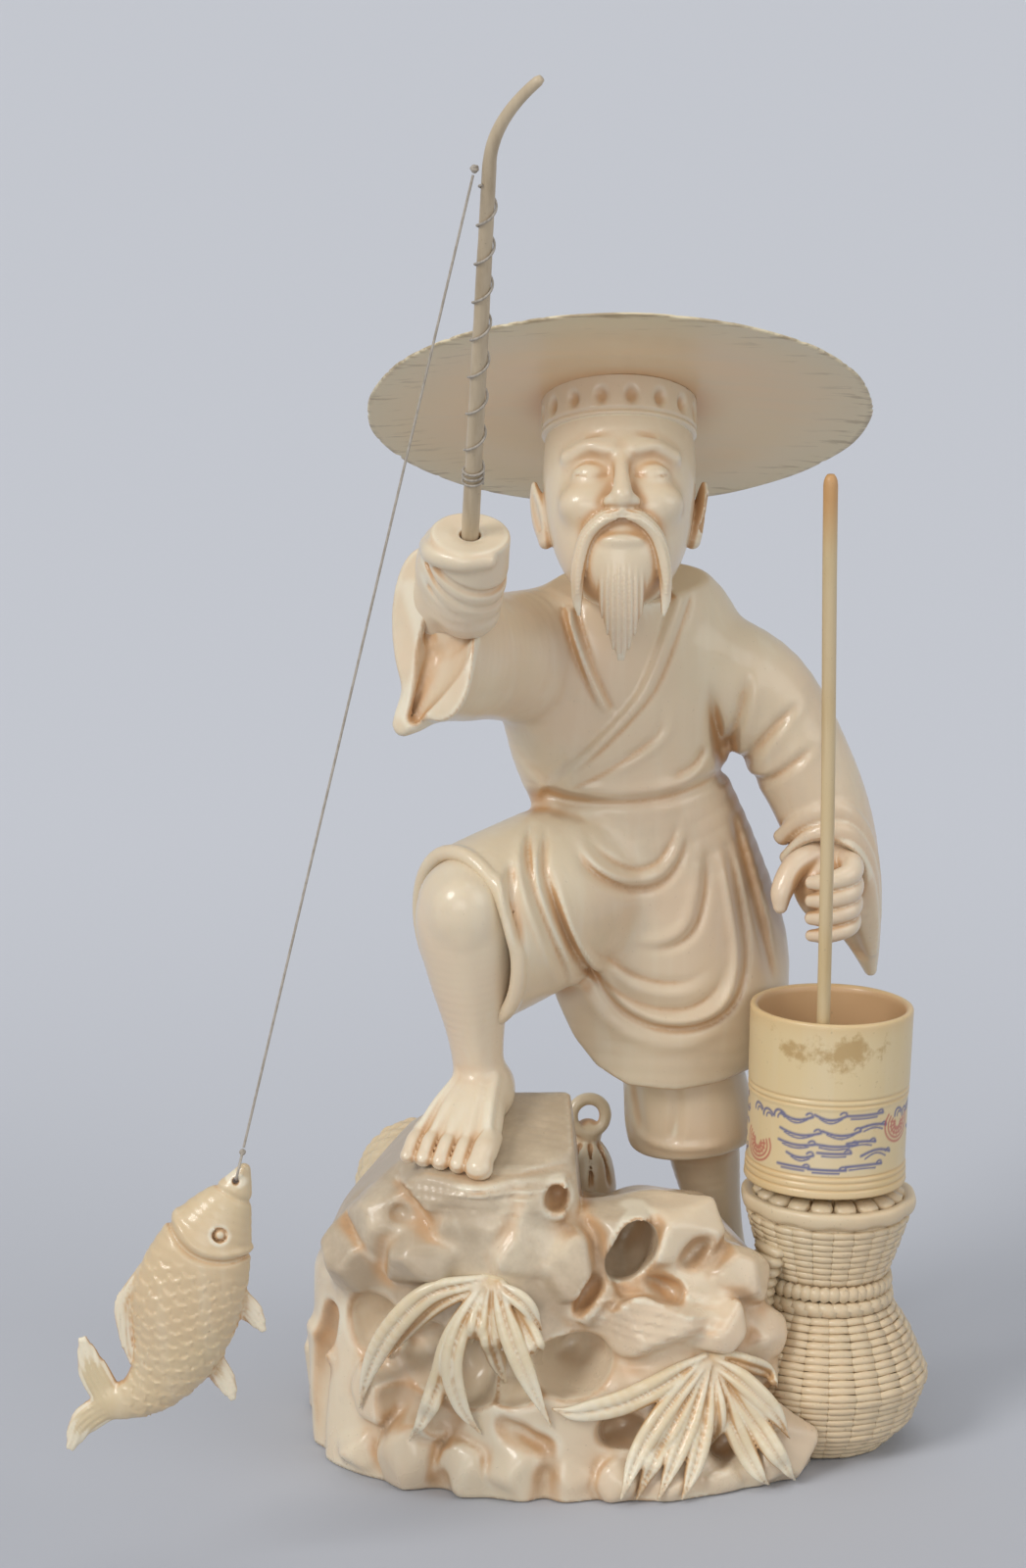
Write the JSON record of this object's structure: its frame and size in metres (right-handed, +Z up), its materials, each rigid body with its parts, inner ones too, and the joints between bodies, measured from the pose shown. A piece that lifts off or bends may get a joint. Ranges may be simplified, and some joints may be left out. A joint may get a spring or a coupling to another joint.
{
  "type": "fisherman okimono",
  "caption": "Carved figure of an old fisherman on a rock in a broad hat, holding a rod with a hanging carp, beside a woven creel that carries a cup with a loose stick.",
  "frame": {"origin": "on the flat underside of the rock, under its middle", "axes": "+Z up, -Y towards the front that the figure faces, +X to the viewer's right"},
  "size_m": [0.1389, 0.1233, 0.2327],
  "materials": {
    "rock_ivory": "satin",
    "robe_ivory": "satin",
    "skin_ivory": "gloss",
    "hat_ivory": "satin",
    "creel_ivory": "satin",
    "cup_ivory": "gloss",
    "carp_ivory": "satin",
    "rod_bone": "satin",
    "stick_bone": "satin",
    "peg_bone": "satin",
    "thread": "satin"
  },
  "bodies": {
    "figure": {"rock_base": "rock_ivory", "robe": "robe_ivory", "right_sleeve": "robe_ivory", "left_sleeve": "robe_ivory", "right_leg": "skin_ivory", "left_leg": "robe_ivory", "head": "skin_ivory", "hat_band": "hat_ivory", "hat": "hat_ivory", "right_hand": "skin_ivory", "left_hand": "skin_ivory", "creel": "creel_ivory", "creel_lid": "creel_ivory", "bait_basket": "creel_ivory", "pouch": "robe_ivory", "right_foot_peg": "peg_bone", "left_foot_peg": "peg_bone", "neck_peg": "peg_bone", "right_shoulder_peg": "peg_bone", "left_shoulder_peg": "peg_bone", "hat_peg": "peg_bone", "creel_peg": "peg_bone"},
    "rod": {"fishing_rod": "rod_bone", "line_winding": "thread"},
    "tie": {"line_knot": "thread"},
    "line": {"fishing_line": "thread"},
    "fish": {"carp": "carp_ivory", "carp_loop": "thread"},
    "cup": {"cup": "cup_ivory", "cup_floor": "cup_ivory"},
    "stick": {"stick": "stick_bone"}
  },
  "joints": [
    {"name": "rod_pull", "type": "slide", "parent": "figure", "child": "rod", "axis": [0.0479, -0.4903, 0.8702], "range_m": [0, 0.025]},
    {"name": "line_sway", "type": "hinge", "parent": "rod", "child": "tie", "pos_m": [-0.01353, -0.07735, 0.21887], "axis": [0, 1, 0], "range_deg": [-27, 12]},
    {"name": "line_swing", "type": "hinge", "parent": "tie", "child": "line", "pos_m": [-0.01353, -0.07735, 0.21887], "axis": [1, 0, 0], "range_deg": [-15, 5]},
    {"name": "carp_turn", "type": "hinge", "parent": "line", "child": "fish", "pos_m": [-0.04881, -0.07932, 0.07191], "axis": [0.2334, 0.013, 0.9723], "range_deg": [-35, 35]},
    {"name": "cup_lift", "type": "slide", "parent": "figure", "child": "cup", "axis": [0, -0.8192, 0.5736], "range_m": [0, 0.05]},
    {"name": "stick_pull", "type": "slide", "parent": "cup", "child": "stick", "axis": [-0.0055, -0.0601, 0.9982], "range_m": [0, 0.045]}
  ]
}
